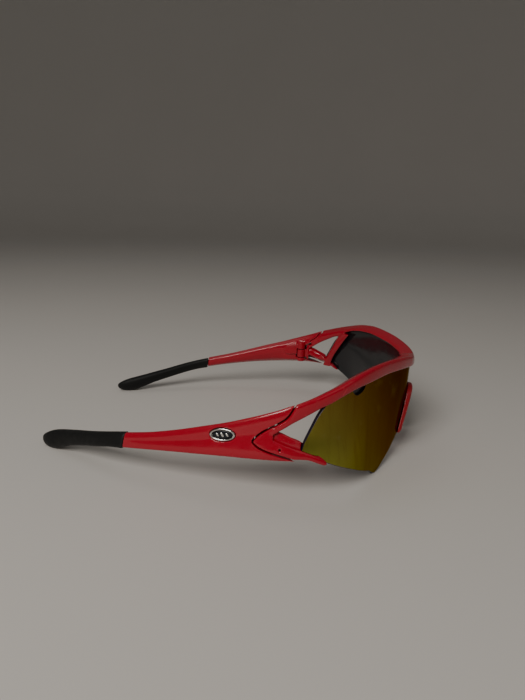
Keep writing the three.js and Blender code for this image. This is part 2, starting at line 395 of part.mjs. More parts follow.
// ---- rubber tips --------------------------------------------------------------------------------
const tipC = curve([[151.8, 16.1], [161, 14.5], [170.3, 12.4], [179, 10.25], [188, 7.9], [193, 6.3], [198, 4.75], [202, 3.85], [205.5, 3.3], [207.6, 3.1], [208.6, 3.2]]);
const tipH = curve([[151.8, 3.3], [161, 3.0], [170.3, 3.0], [179, 3.05], [188, 3.3], [193, 3.7], [198, 4.05], [202, 3.86], [205.5, 3.0], [207.6, 1.8], [208.6, 0.7]]);
const tipW = curve([[151.8, 2.05], [170.3, 2.25], [188, 2.7], [198, 2.9], [202, 2.7], [205.5, 2.1], [207.6, 1.2], [208.6, 0.4]]);
const tipStations = [154.4, 157, 160, 165, 170, 175, 180, 185, 190, 194, 197.5, 200.5, 203, 205, 206.6, 207.8, 208.5];
const tip = wrapLoft(tipStations, (s) => {
  const zc = tipC(s), h = tipH(s), w = tipW(s), m = -templeT(Math.min(s, 175)) / 2 - 0.1;
  return range(0, 11, 11).map((i) => {
    const a = (i + 0.5) * Math.PI / 6, c = Math.cos(a), q = Math.sin(a);
    const r = (x) => Math.sign(x) * Math.abs(x) ** 0.8;
    const z = Math.max(0, zc + h * r(q));
    return [z, m + w * r(c) - 0.18 * (z - zc), s - 0.6 * (q * 0.5) * (1 - smooth((s - 156) / 20))];
  });
}).subtract(tongueLoft(GAP, 146, 186.8));

// ---- named pieces -------------------------------------------------------------------------------
const mat = (color, roughness, metalness = 0) => new THREE.MeshStandardMaterial({ color, roughness, metalness });
const red = mat(0xc81824, 0.18), rubber = mat(0x17181a, 0.75), mirrorGold = mat(0x8c7d1e, 0.08, 0.6);
const steel = mat(0x9a9a98, 0.3, 1), chrome = mat(0xd8d8d4, 0.12, 1), enamel = mat(0x14171a, 0.25), bridgeRed = mat(0xb81a26, 0.25);

const glasses = new THREE.Group();
glasses.name = 'sport_sunglasses';
function piece(name, solid, material, parent = glasses) {
  const mesh = new THREE.Mesh(geometryFromSolid(solid), material);
  mesh.name = name;
  parent.add(mesh);
  return mesh;
}
piece('front_frame', frontFrame, red);
piece('shield_lens', lens, mirrorGold);
piece('nose_bridge', noseBridge, bridgeRed);
for (const side of ['left', 'right']) {
  const m = side === 'left' ? (x) => x : mirrorX;
  const arm = new THREE.Group();
  piece(`nose_pad_${side}`, m(padLoft), rubber);
  piece(`temple_${side}`, m(temple), red, arm);
  piece(`temple_tip_${side}`, m(tip), rubber, arm);
  piece(`badge_bezel_${side}`, m(bezel), chrome, arm);
  piece(`badge_inlay_${side}`, m(inlay), enamel, arm);
  piece(`hinge_screw_${side}`, m(screw), steel, arm);
  glasses.add(arm);
}

export default glasses;
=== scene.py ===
# Wrap-around sport sunglasses: the moulded surfaces, materials, stage, light and camera around the
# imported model. Shapes are worked out in millimetres in the model's frame and turned into metres at
# the end. +Z up, the front faces -Y, +X is the wearer's left.
import bisect
import functools
import math

import bmesh
import bpy
import numpy as np
from mathutils import Matrix, Vector


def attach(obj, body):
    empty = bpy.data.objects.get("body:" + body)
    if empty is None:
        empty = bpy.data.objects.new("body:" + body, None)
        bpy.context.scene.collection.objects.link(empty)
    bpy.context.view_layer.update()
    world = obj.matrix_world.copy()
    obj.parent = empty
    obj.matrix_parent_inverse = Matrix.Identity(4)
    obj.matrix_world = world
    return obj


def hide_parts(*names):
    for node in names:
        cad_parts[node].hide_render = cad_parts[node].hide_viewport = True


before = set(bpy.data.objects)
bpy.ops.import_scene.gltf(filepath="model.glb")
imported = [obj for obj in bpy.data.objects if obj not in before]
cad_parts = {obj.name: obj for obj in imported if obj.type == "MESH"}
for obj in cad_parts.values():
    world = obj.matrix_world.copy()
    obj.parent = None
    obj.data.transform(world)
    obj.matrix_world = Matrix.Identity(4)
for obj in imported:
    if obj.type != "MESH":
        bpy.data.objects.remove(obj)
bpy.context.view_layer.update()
scene = bpy.context.scene

# ---- camera ---------------------------------------------------------------------------------
YAW, PITCH, ROLL = (math.radians(v) for v in (10.35, 14.45, -1.2))
cam_data = bpy.data.cameras.new("photo_camera")
cam_data.lens = 27.051
cam_data.sensor_width = 36.0
cam_data.clip_start = 0.01
cam_data.clip_end = 50.0
camera = bpy.data.objects.new("photo_camera", cam_data)
scene.collection.objects.link(camera)
ahead = Vector((math.cos(YAW) * math.cos(PITCH), math.sin(YAW) * math.cos(PITCH), -math.sin(PITCH)))
right = ahead.cross(Vector((0, 0, 1))).normalized()
down = ahead.cross(right)
right2 = right * math.cos(ROLL) + down * math.sin(ROLL)
down2 = -right * math.sin(ROLL) + down * math.cos(ROLL)
turn = Matrix((right2, -down2, -ahead)).transposed().to_4x4()
camera.matrix_world = Matrix.Translation((-0.24382, -0.05620, 0.10544)) @ turn
scene.camera = camera

# ---- driving dimensions (mm) ------------------------------------------------------------------
OY = -81.25
GAP = 0.3
LENS_T = 1.8
LENS_D = -1.1
ARM_T = 4.5
HINGE_X, HINGE_Y = 63.9, 57.5
KNUCKLE_R = 2.4
KNUCKLE_LOW, KNUCKLE_MID, KNUCKLE_TOP = (20.0, 22.0), (22.4, 27.1), (27.5, 31.6)
SCREW_R, SCREW_HEAD_R = 0.7, 1.3
TONGUE = (1.5, 0.95)
BADGE_S, BADGE_Z, BADGE_RX, BADGE_RZ = 110.3, 25.7, 5.0, 2.45
HALF_GAP = 0.21


def curve(knots):
    xs, ys, n = [k[0] for k in knots], [k[1] for k in knots], len(knots)
    m = []
    for i in range(n):
        a, b = knots[max(0, i - 1)], knots[min(n - 1, i + 1)]
        m.append((b[1] - a[1]) / (b[0] - a[0]))

    def value(t):
        if t <= xs[0]:
            return ys[0] + (t - xs[0]) * m[0]
        if t >= xs[-1]:
            return ys[-1] + (t - xs[-1]) * m[-1]
        i = bisect.bisect_left(xs, t) - 1
        h = xs[i + 1] - xs[i]
        u = (t - xs[i]) / h
        u2 = u * u
        u3 = u2 * u
        return ((2 * u3 - 3 * u2 + 1) * ys[i] + (u3 - 2 * u2 + u) * h * m[i]
                + (3 * u2 - 2 * u3) * ys[i + 1] + (u3 - u2) * h * m[i + 1])

    return value


def smooth(t):
    u = min(1.0, max(0.0, t))
    return u * u * (3 - 2 * u)


def steps(a, b, step):
    n = max(1, int(math.ceil((b - a) / step - 1e-6)))
    return [a + (b - a) * i / n for i in range(n + 1)]


# ---- wrap surface -------------------------------------------------------------------------------
PLAN = [
    (0, 0, -1.3), (8, 7.95, -0.4), (16, 15.6, 2.6), (22.7, 21.8, 5.6), (32.7, 30.7, 10.6), (39.4, 36.5, 13.9),
    (44.7, 41.0, 16.7), (50.2, 45.6, 19.8), (54.6, 49.2, 22.5), (60.3, 53.6, 26.1), (65.3, 57.2, 29.5),
    (69.9, 60.2, 33.0), (73, 62.0, 35.5), (76.5, 63.8, 38.5), (80.7, 65.6, 42.4), (84.4, 66.8, 46.0),
    (88.5, 67.6, 49.9), (94.2, 68.1, 55.6), (99.8, 68.2, 61.2), (109.2, 68.0, 70.7), (119, 67.3, 80.4),
    (129.5, 65.9, 90.8), (140.8, 63.9, 102.0), (151.8, 61.6, 112.6), (161.5, 59.0, 122.0),
    (170.3, 56.0, 130.1), (180, 51.8, 138.7), (188, 48.3, 146.0), (197, 44.6, 154.4), (206.3, 41.5, 163.5),
    (208.5, 41.0, 165.7),
]
plan_x = curve([(-8, -7.95)] + [(k[0], k[1]) for k in PLAN])
plan_y = curve([(-8, -0.4)] + [(k[0], k[2]) for k in PLAN])


@functools.lru_cache(maxsize=None)
def wall(s):
    a, e, sg = abs(s), 0.05, (-1 if s < 0 else 1)
    tx, ty = plan_x(a + e) - plan_x(a - e), plan_y(a + e) - plan_y(a - e)
    n = math.hypot(tx, ty)
    return sg * plan_x(a), plan_y(a), sg * ty / n, -tx / n


flare_by = curve([(30, 0), (42, 0.4), (50, 1.6), (60, 2.9), (70, 3.4), (84, 3.2), (96, 3.0), (105, 2.7), (110, 2.5), (119, 2.2), (130, 1.8), (141, 1.4), (152, 1.0), (170, 0.7), (190, 0.4), (212, 0.2)])
flare_top = curve([(0, 30), (84, 30), (92, 29), (100, 27.4), (110, 25), (120, 22.8), (130, 20.8), (141, 18.7), (152, 16.8), (170, 12.6), (190, 7.2), (212, 4)])
flare_span = curve([(0, 14), (84, 13), (92, 11.5), (100, 10), (110, 8.6), (120, 7), (130, 5.8), (141, 4.7), (152, 4.2), (212, 4)])


def flare(s, z):
    a = abs(s)
    return max(0.0, flare_by(max(30, a))) * min(1.15, max(0.0, (flare_top(a) - z) / flare_span(a))) ** 1.2


def W(s, z, d):
    x, y, nx, ny = wall(s)
    e = d + flare(s, z)
    return (x + nx * e, y + ny * e + OY, z)


def upright(s):
    return smooth((s - 80) / 7) * (1 - smooth((s - 103) / 9))


# ---- solids --------------------------------------------------------------------------------------
bench = bpy.data.collections.new("bench")
scene.collection.children.link(bench)


def chaikin(points, times=2, q=0.25):
    p = np.array(points, float)
    for _ in range(times):
        n = np.roll(p, -1, 0)
        p = np.stack([p * (1 - q) + n * q, p * q + n * (1 - q)], 1).reshape(-1, p.shape[1])
    return [tuple(v) for v in p]


def solid(name, verts, faces, indices=None):
    me = bpy.data.meshes.new(name)
    me.from_pydata([tuple(v) for v in verts], [], faces)
    if indices is not None:
        me.polygons.foreach_set("material_index", indices)
    bm = bmesh.new()
    bm.from_mesh(me)
    bmesh.ops.recalc_face_normals(bm, faces=bm.faces)
    bmesh.ops.triangulate(bm, faces=[f for f in bm.faces if len(f.verts) > 4])
    if bm.calc_volume(signed=True) < 0:
        bmesh.ops.reverse_faces(bm, faces=bm.faces)
    bm.to_mesh(me)
    bm.free()
    o = bpy.data.objects.new(name, me)
    bench.objects.link(o)
    return o


def loft(name, loops, index=None):
    n = len(loops[0])
    verts = [p for loop in loops for p in loop]
    faces, indices = [], []
    for i in range(len(loops) - 1):
        for j in range(n):
            a, b = i * n + j, i * n + (j + 1) % n
            faces.append((a, b, b + n, a + n))
            indices.append(index(j) if index else 0)
    faces.append(tuple(range(n)))
    faces.append(tuple(range((len(loops) - 1) * n, len(loops) * n)))
    indices += [index(-1) if index else 0] * 2
    return solid(name, verts, faces, indices if index else None)


def wrap_loft(name, stations, section, rounding=2):
    loops = []
    for s in stations:
        sec = [(p[0], p[1], p[2] if len(p) > 2 else s) for p in section(s)]
        if rounding:
            sec = chaikin(sec, rounding)
        loops.append([W(q[2], q[0], q[1]) for q in sec])
    return loft(name, loops)


def prism_x(name, points, x0, x1):
    return loft(name, [[(x0, y + OY, z) for y, z in points], [(x1, y + OY, z) for y, z in points]])


def post(name, x, y, r, z0, z1, sides=48):
    ring = [(x + r * math.cos(2 * math.pi * i / sides), y + OY + r * math.sin(2 * math.pi * i / sides)) for i in range(sides)]
    return loft(name, [[(px, py, z0) for px, py in ring], [(px, py, z1) for px, py in ring]])


def apply_stack(o):
    dg = bpy.context.evaluated_depsgraph_get()
    me = bpy.data.meshes.new_from_object(o.evaluated_get(dg), preserve_all_data_layers=True, depsgraph=dg)
    old = o.data
    o.modifiers.clear()
    o.data = me
    bpy.data.meshes.remove(old)
    return o


def volume(o):
    bm = bmesh.new()
    bm.from_mesh(o.data)
    v = bm.calc_volume(signed=True)
    bm.free()
    return v


def combine(a, b, operation, keep=False):
    before, count = volume(a), len(a.data.polygons)
    for solver in ("MANIFOLD", "EXACT"):
        m = a.modifiers.new("combine", "BOOLEAN")
        m.operation, m.solver, m.object = operation, solver, b
        dg = bpy.context.evaluated_depsgraph_get()
        me = bpy.data.meshes.new_from_object(a.evaluated_get(dg), preserve_all_data_layers=True, depsgraph=dg)
        a.modifiers.clear()
        if len(me.polygons) > 0 and len(me.polygons) != count:
            break
        bpy.data.meshes.remove(me)
        me = None
    if me is None:
        print("BOOLEAN had no effect:", a.name, operation, b.name)
    else:
        old = a.data
        a.data = me
        bpy.data.meshes.remove(old)
        after = volume(a)
        if (operation == "DIFFERENCE" and after > before + 1e-6) or (operation == "UNION" and after < before - 1e-6):
            print("BOOLEAN odd volume:", a.name, operation, b.name, before, after)
    if not keep:
        bpy.data.objects.remove(b)
    return a


def mirrored(o, name):
    me = o.data.copy()
    c = bpy.data.objects.new(name, me)
    bench.objects.link(c)
    me.transform(Matrix.Scale(-1, 4, (1, 0, 0)))
    me.flip_normals()
    return c


def moulded(o, voxel, rounds, factor=0.5):
    """Rounds every edge the way a moulding has them."""
    m = o.modifiers.new("cells", "REMESH")
    m.mode, m.voxel_size, m.adaptivity = "VOXEL", voxel, 0.0
    s = o.modifiers.new("ease", "SMOOTH")
    s.factor, s.iterations = factor, rounds
    apply_stack(o)
    return o


def shade(o, angle=None):
    me = o.data
    me.polygons.foreach_set("use_smooth", [True] * len(me.polygons))
    if angle:
        me.set_sharp_from_angle(angle=math.radians(angle))
    me.update()


def finish_piece(o, name, body, slot, materials, node=None, angle=None):
    o.data.transform(Matrix.Scale(0.001, 4))
    o.name = name
    o.data.name = name
    bench.objects.unlink(o)
    scene.collection.objects.link(o)
    held = np.zeros(len(o.data.polygons), np.int32)
    o.data.polygons.foreach_get("material_index", held)
    o.data.materials.clear()
    for m in materials:
        o.data.materials.append(m)
    o.data.polygons.foreach_set("material_index", held if len(materials) > 1 else held * 0)
    shade(o, angle)
    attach(o, body)
    if node:
        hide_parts(node)
    return o


# ---- front frame -----------------------------------------------------------------------------------
MOUTH_UP = [(83.3, 39.0), (83.8, 37.8), (84.5, 36.6), (85.6, 34.9), (87, 33.5), (90.5, 31.2), (94.2, 29.0), (97.1, 26.8), (98.7, 25.0)]
MOUTH_LOW = [(82.6, 18.3), (83.9, 18.6), (86.5, 19.4), (90.2, 20.4), (94, 21.5), (96.6, 22.5), (98.3, 23.7), (98.7, 24.4)]
mouth_up, mouth_low = curve(MOUTH_UP), curve(MOUTH_LOW)
UP = [(s, mouth_up(s)) for s in steps(83.3, 98.7, 0.45)]
LOW = [(s, mouth_low(s)) for s in steps(82.6, 98.3, 0.45)]
brow_top = curve([(0, 44.9), (8, 45.7), (16, 47.0), (24, 48.0), (33, 48.6), (41.8, 48.7), (48.5, 48.1), (55.2, 47.0), (65.8, 44.3), (74.3, 41.8), (81.8, 39.4), (84, 38.7)])
brow_low = curve([(0, 40.4), (8, 40.9), (16, 41.8), (22.7, 42.5), (32.7, 43.1), (39.4, 43.1), (44.7, 42.8), (50.2, 42.4), (54.6, 42.0), (60.3, 40.9), (65.3, 39.5), (69.9, 37.9), (73, 37.1), (77.9, 34.9), (83.3, 32.2), (88.3, 29.3), (93, 26.4)])
brow_depth = curve([(0, 6.2), (20, 5.4), (45, 5.2), (66, 5.4), (74, 5.4), (82, 4.8), (88, ARM_T), (99, ARM_T)])
brow_proud = curve([(0, 0.5), (50, 0.5), (62, 0.3), (74, 0), (99, 0)])
brow_slope = curve([(0, 0.5), (12, 0.7), (28, 2.0), (60, 2.3), (84, 2.0), (99, 1.6)])
brow_lip = curve([(0, 2.0), (20, 2.3), (50, 2.3), (62, 1.2), (68, 0), (99, 0)])


def upper_top(s):
    return brow_top(s) if s < 83.0 else min(brow_top(s), mouth_up(max(83.3, s + HALF_GAP)) - HALF_GAP)


def brow_section(s):
    a = abs(s)
    zt, zb, t = upper_top(a), brow_low(a), brow_depth(a)
    zi = zb + max(0, brow_lip(a))
    k = max(0.35, min(1, (zt - zb) / 5)) if a > 83 else 1
    o, f = brow_proud(a), brow_slope(a) * k
    inner = min(zi, zt - f - 0.9 * k)
    return [(zb, -0.6 * k + o), (zb + 0.6 * k, o), (zt - 1.2 * k, o - 0.05), (zt - 0.3 * k, o - 0.6), (zt, o - 1.4),
            (zt - 0.75 * f, -t + 1.0), (zt - f - 0.5 * k, -t), (inner, -t), (inner, -2.95), (zb - 0.04, -2.8)]


half = steps(0, 72, 0.8)[1:] + steps(72, 92.5, 0.4)[1:]
brow_stations = [-s for s in reversed(half)] + [0] + half

low_bottom = curve([(71.9, 15.9), (72.6, 15.7), (73.6, 16.0), (75.5, 16.9), (78.2, 18.1), (80.9, 18.6), (83.6, 18.8), (86.5, 19.7), (90.2, 20.65), (92.5, 21.3)])
low_crease = curve([(71.9, 16.7), (72.6, 17.4), (74.2, 18.5), (77.1, 20.1), (79.9, 21.4), (81.8, 22.1), (86.7, 23.8), (91.5, 25.6), (92.5, 25.9)])
low_window = curve([(71.9, 17.2), (73.6, 19.0), (77.1, 21.9), (80.7, 24.8), (84.5, 26.5), (88.3, 28.1), (90.5, 28.4), (92.5, 27)])
low_depth = curve([(71.9, 4.4), (73.4, 5.4), (80, 5.8), (84, 5.0), (88, ARM_T), (93, ARM_T)])


def hub_section(s):
    zt, zb = mouth_up(s + HALF_GAP) - HALF_GAP, mouth_low(s + HALF_GAP) + HALF_GAP
    k = min(0.5, (zt - zb) / 4)
    return [(zb, -0.4), (zb + k, 0), (zt - k, 0), (zt, -0.4), (zt, -ARM_T + 0.3), (zt - k, -ARM_T),
            (zb + k, -ARM_T - flare(s, zb)), (zb, -ARM_T + 0.3 - flare(s, zb))]


def lower_section(s):
    b = low_bottom(s)
    c = max(b + 0.5, low_crease(s))
    w = max(c + 0.2, low_window(s))
    t = low_depth(s)
    st = min(1, (w - c) / 2.5)
    ib = min(b + min(2.8, (w - b) * 0.4), w - 1.5 * st - 0.7)
    return [(b, -0.8), (b + 0.4, -0.1), (c, 0), (c + (w - c) * 0.12, -1.3 * st), (c + (w - c) * 0.6, -1.75 * st),
            (w, -2.0 * st - 0.1), (w - 1.2 * st, -t + 0.3), (w - 1.5 * st, -t),
            (ib + 0.3, -t - upright(s) * flare(s, ib)), (ib, -t + 0.7 - upright(s) * flare(s, ib))]


lens_edge = curve([(18.5, 81.4), (21.8, 80.6), (24.4, 79.7), (27.1, 78.2), (30.1, 76.4), (34.1, 73.8), (36.6, 71.8), (38.4, 70.2), (42, 67.4)])


def station_at(y, z, d):
    lo, hi = 30.0, 110.0
    for _ in range(34):
        m = (lo + hi) / 2
        if W(m, z, d)[1] - OY < y:
            lo = m
        else:
            hi = m
    return lo


strut_rear = curve([(17.0, 44.2), (21.5, 42.7), (26, 40.9), (30, 39.1), (34, 37.3), (38.6, 34.9), (42, 32.9)])
strut_front = curve([(17.0, 39.6), (22, 38.8), (26, 37.4), (29.2, 35.9), (36, 32.2), (42.5, 28.3)])
STRUT_D = (LENS_D - LENS_T - GAP - 0.05, -5.9)


def strut_loops():
    loops = []
    for z in steps(18.2, 40.6, 0.8):
        f, r = strut_front(z), strut_rear(z)
        pairs = [(f, STRUT_D[0]), (r, STRUT_D[0]), (r, STRUT_D[1] + 0.6), (r - 0.8, STRUT_D[1]), (f + 0.8, STRUT_D[1]), (f, STRUT_D[1] + 0.5)]
        loops.append([W(station_at(y, z, d), z, d) for y, d in pairs])
    return loops


# ---- lens --------------------------------------------------------------------------------------------
LENS_BOTTOM = [
    (0, 27.9), (2.4, 27.5), (4.3, 25.9), (6.0, 22.7), (7.6, 18.9), (9.4, 15.2), (11.6, 11.9), (15.6, 9.6), (20.6, 7.4),
    (25.7, 5.1), (30.3, 2.7), (32.6, 1.1), (34.2, 0.0), (37.4, 0.0), (39.4, 1.2), (43.2, 3.0), (46.5, 4.3), (50.6, 6.1),
    (57.3, 9.3), (63.1, 12.0), (67.3, 14.0), (70.7, 15.7), (72.4, 16.6), (77, 18.9), (79.5, 20.2), (80.9, 21.2),
]
ROUND_LOW = [k for k in LENS_BOTTOM if not 30 < k[0] < 43] + [(30.3, 3.05), (32.6, 1.8), (34.4, 0.95), (36.0, 0.35), (37.6, 0.08), (39.0, 0.45), (40.6, 1.35), (42.2, 2.25)]
lens_low_curve = curve([(-2.4, 27.5)] + sorted(ROUND_LOW))


def lens_low(a):
    return max(0.0, lens_low_curve(a))


def lens_face(s, z):
    return LENS_D - 1.5 * max(0, (43 - z) / 33) * (1 - smooth((abs(s) - 10) / 22))


def lens_high(a):
    top = brow_low(a) + 2.5
    if a < 67.4:
        return top
    lo, hi = 18.0, 43.0
    for _ in range(30):
        m = (lo + hi) / 2
        if lens_edge(m) < a:
            hi = m
        else:
            lo = m
    return min(top, lo)


def lens_point(s, z, d):
    """The lens follows the wrap surface with the flare eased in and out, so its face has no break."""
    x, y, nx, ny = wall(s)
    a = abs(s)
    e = d + max(0.0, flare_by(max(30, a))) * 1.18 * smooth(((flare_top(a) - z) / flare_span(a) + 0.4) / 2.1)
    return (x + nx * e, y + ny * e + OY, z)


def lens_loops(grow, thick, fine):
    half = ([0] + steps(0, 14, 0.35)[1:] + steps(14, 66, 0.8)[1:] + steps(66, 80.55, 0.35)[1:]) if fine else (steps(0, 14, 0.7) + steps(14, 66, 1.3)[1:] + steps(66, 80.55, 0.7)[1:])
    stations = [-s for s in reversed(half[1:])] + half
    rows = 26 if fine else 12
    scale = (80.55 + grow) / 80.55
    loops = []
    for s0 in stations:
        a = abs(s0)
        s = s0 * (1 + (scale - 1) * smooth((a - 60) / 20.5) if a > 60 else 1)
        low = min(lens_low(a) - grow, lens_high(a) - 0.5)
        high = lens_high(a) + grow
        e = min(0.32, (high - low) * 0.3) if fine else 0
        loop = []
        zs = [low + e + (high - low - 2 * e) * i / rows for i in range(rows + 1)]
        for z in zs:
            loop.append(lens_point(s, z, lens_face(s, z) + thick))
        if fine:
            loop.append(lens_point(s, high - e * 0.3, lens_face(s, high) + thick - 0.12))
            loop.append(lens_point(s, high, lens_face(s, high) - 0.5))
            loop.append(lens_point(s, high, lens_face(s, high) - LENS_T + 0.5))
            loop.append(lens_point(s, high - e * 0.3, lens_face(s, high) - LENS_T + 0.12))
        for z in reversed(zs):
            loop.append(lens_point(s, z, lens_face(s, z) - LENS_T - thick))
        if fine:
            loop.append(lens_point(s, low + e * 0.3, lens_face(s, low) - LENS_T + 0.12))
            loop.append(lens_point(s, low, lens_face(s, low) - LENS_T + 0.5))
            loop.append(lens_point(s, low, lens_face(s, low) - 0.5))
            loop.append(lens_point(s, low + e * 0.3, lens_face(s, low) - 0.12))
        loops.append(loop)
    return loops, rows


def vent_prism():
    wx, wy, nx, ny = wall(53.3)
    outline = [(-4.2, 46), (-4.0, 41.2), (-2.2, 39.4), (1.0, 38.5), (2.6, 39.2), (4.2, 41.0), (4.4, 46)]
    pts = chaikin(outline, 2)
    tx, ty = -ny, nx
    loops = []
    for depth in (0.0, 9.0):
        k = 8 + LENS_D - depth
        loops.append([(wx + tx * u + nx * k, wy + ty * u + ny * k + OY, z) for u, z in pts])
    return loft("vent", loops, index=lambda j: 2)


def build_lens_clear():
    loops, _ = lens_loops(GAP + 0.1, GAP, False)
    return loft("lens_clear", loops)


def build_lens():
    loops, rows = lens_loops(0, 0, True)
    n_out = rows + 1

    def index(j):
        if j < 0:
            return 2
        if j < rows:
            return 0
        if n_out + 4 <= j < n_out + 4 + rows:
            return 1
        return 2

    o = loft("lens", loops, index)
    v = vent_prism()
    for k in range(3):
        m = bpy.data.materials.new(f"place_{k}")
        o.data.materials.append(m)
        v.data.materials.append(m)
    vm = mirrored(v, "vent_m")
    combine(o, v, "DIFFERENCE")
    combine(o, vm, "DIFFERENCE")
    return o


def lap(name, grow):
    """The inner half of the wall behind the upper mouth line, which closes the line of sight through it."""
    pts = [(plan_y(s), z) for s, z in UP if s < 90.4 + grow]
    ahead_side, behind_side = [], []
    for i, (y, z) in enumerate(pts):
        y0, z0 = pts[max(0, i - 1)]
        y1, z1 = pts[min(len(pts) - 1, i + 1)]
        n = math.hypot(y1 - y0, z1 - z0)
        ny, nz = -(z1 - z0) / n, (y1 - y0) / n
        behind_side.append((y + ny * (1.15 + grow), z + nz * (1.15 + grow)))
        ahead_side.append((y - ny * (1.3 - grow), z - nz * (1.3 - grow)))
    band = prism_x(name, ahead_side + behind_side[::-1], 50, 80)
    inner = -ARM_T + 0.1 - grow * 2
    shell = [[W(s, z, -2.4 + grow) for z in steps(15, 42, 1.0)] + [W(s, z, inner) for z in reversed(steps(15, 42, 1.0))]
             for s in steps(80, 95, 0.6)]
    combine(band, loft(name + "_shell", shell), "INTERSECT")
    if not grow:
        hull = [[W(s, temple_top(s) - a, d) for a, d in ((1.2, 1), (1.2, -2.3), (2.7, -4.2), (2.7, -8))]
                + [W(s, temple_low(s) + 0.6, -8), W(s, temple_low(s) + 0.6, 1)] for s in steps(80, 95, 0.6)]
        combine(band, loft(name + "_hull", hull), "INTERSECT")
    return band


def build_front():
    brow = wrap_loft("brow", brow_stations, brow_section)
    above = prism_x("above", [(plan_y(83.3) - 0.2, 52)] + [(plan_y(s) - 0.2, z - HALF_GAP) for s, z in UP]
                    + [(plan_y(98.7) + 0.2, 24.9), (plan_y(112), 24.9), (plan_y(112), 52)], 50, 80)
    above_m = mirrored(above, "above_m")
    relief = post("relief", HINGE_X, HINGE_Y, 3.35, KNUCKLE_MID[1] + 0.02, 36)
    relief_m = mirrored(relief, "relief_m")
    for cutter in (above, above_m, relief_m):
        combine(brow, cutter, "DIFFERENCE")
    combine(brow, relief, "DIFFERENCE", keep=True)
    side = wrap_loft("hub", steps(91.2, 98.45, 0.3), hub_section, 1)
    combine(side, wrap_loft("lower", steps(71.9, 92.5, 0.4), lower_section, 1), "UNION")
    combine(side, loft("strut", strut_loops()), "UNION")
    combine(side, post("mid", HINGE_X, HINGE_Y, KNUCKLE_R, *KNUCKLE_MID), "UNION")
    combine(side, relief, "DIFFERENCE")
    combine(side, post("low_relief", HINGE_X, HINGE_Y, 3.35, 12, KNUCKLE_MID[0] - 0.02), "DIFFERENCE")
    combine(side, post("bore", HINGE_X, HINGE_Y, SCREW_R + GAP, 10, KNUCKLE_TOP[1] - 0.8), "DIFFERENCE")
    combine(side, prism_x("pin", [(49.9 + 0.5 * math.cos(i * math.pi / 10), 22.3 + 0.5 * math.sin(i * math.pi / 10)) for i in range(20)], 65.6, 72), "DIFFERENCE")
    combine(side, lap("lap_up", 0), "UNION")
    side_m = mirrored(side, "side_m")
    combine(brow, side, "UNION")
    combine(brow, side_m, "UNION")
    combine(brow, build_lens_clear(), "DIFFERENCE")
    return moulded(brow, 0.28, 4)


# ---- nose bridge and pads -----------------------------------------------------------------------------
ARCH = [(0, 28.9), (2.6, 28.4), (4.9, 26.6), (6.6, 23.4), (8.2, 19.6), (9.9, 15.8), (11.5, 12.4), (12.5, 10.2)]
arch_x = curve([(i, p[0]) for i, p in enumerate(ARCH)])
arch_z = curve([(i, p[1]) for i, p in enumerate(ARCH)])


def arch_frame(u):
    a, sg, e = abs(u), (-1 if u < 0 else 1), 0.02
    x, z = arch_x(a), arch_z(a)
    tx, tz = arch_x(a + e) - arch_x(max(0, a - e)), arch_z(a + e) - arch_z(max(0, a - e))
    if a < 0.05:
        tx, tz = 1, 0
    n = math.hypot(tx, tz)
    return sg * x, z, sg * (-tz / n), tx / n, plan_y(abs(x)) - lens_face(x, z)


def build_bridge():
    loops = []
    for u in steps(-7, 7, 0.1):
        x, z, ox, oz, y = arch_frame(u)
        k = 1 - 0.45 * smooth((abs(u) - 6.3) / 0.7)
        y0, y1, h = y - 3.5 * k, y + LENS_T + 2.2 * k, 1.65 * k
        y0 = y - (1.3 + 1.3 * (1 - smooth((abs(u) - 0.8) / 5.5))) * k
        pts = [(-h, y0 + 0.7), (-h * 0.5, y0), (h * 0.5, y0), (h, y0 + 0.7), (h, y1 - 0.5), (h - 0.5, y1), (-h + 0.5, y1), (-h, y1 - 0.5)]
        loops.append([(x + ox * o, yy + OY, z + oz * o) for o, yy in chaikin(pts, 1)])
    arch = loft("arch", loops)
    wings = []
    for t in steps(0, 1, 0.05):
        z = 23.2 - t * 12.8
        x, _, _, _, y = arch_frame(3.1 + t * 3.4)
        x += 0.2
        y0 = y + LENS_T + 1.2
        y1 = y0 + 5.2 * math.sin(math.pi * (0.18 + 0.7 * t))
        wings.append([(x - 0.7, y0 + OY, z), (x + 0.7, y0 + OY, z), (x + 1.4, y1 + OY, z), (x, y1 + OY, z)])
    wing = loft("wing", wings)
    wing_m = mirrored(wing, "wing_m")
    combine(arch, wing, "UNION")
    combine(arch, wing_m, "UNION")
    combine(arch, build_lens_clear(), "DIFFERENCE")
    return moulded(arch, 0.22, 4)


def build_pad():
    loops = []
    for i in range(49):
        t = 0.5 - 0.5 * math.cos(math.pi * i / 48)
        z = 24.2 - t * 15.2
        x, _, _, _, y = arch_frame(2.9 + t * 3.75)
        k = math.sqrt(max(0.02, 1 - (2 * t - 1) ** 2))
        yc, xc, hy, hx = y + LENS_T + 6.4, x - 2.6, 3.6 * k, 1.25 * max(0.2, k)
        ring = []
        for j in range(40):
            a = j * math.pi / 20
            ring.append((xc + hx * math.cos(a) + 0.14 * hy * math.sin(a), yc + hy * math.sin(a) + OY, z))
        loops.append(ring)
    return loft("pad", loops)


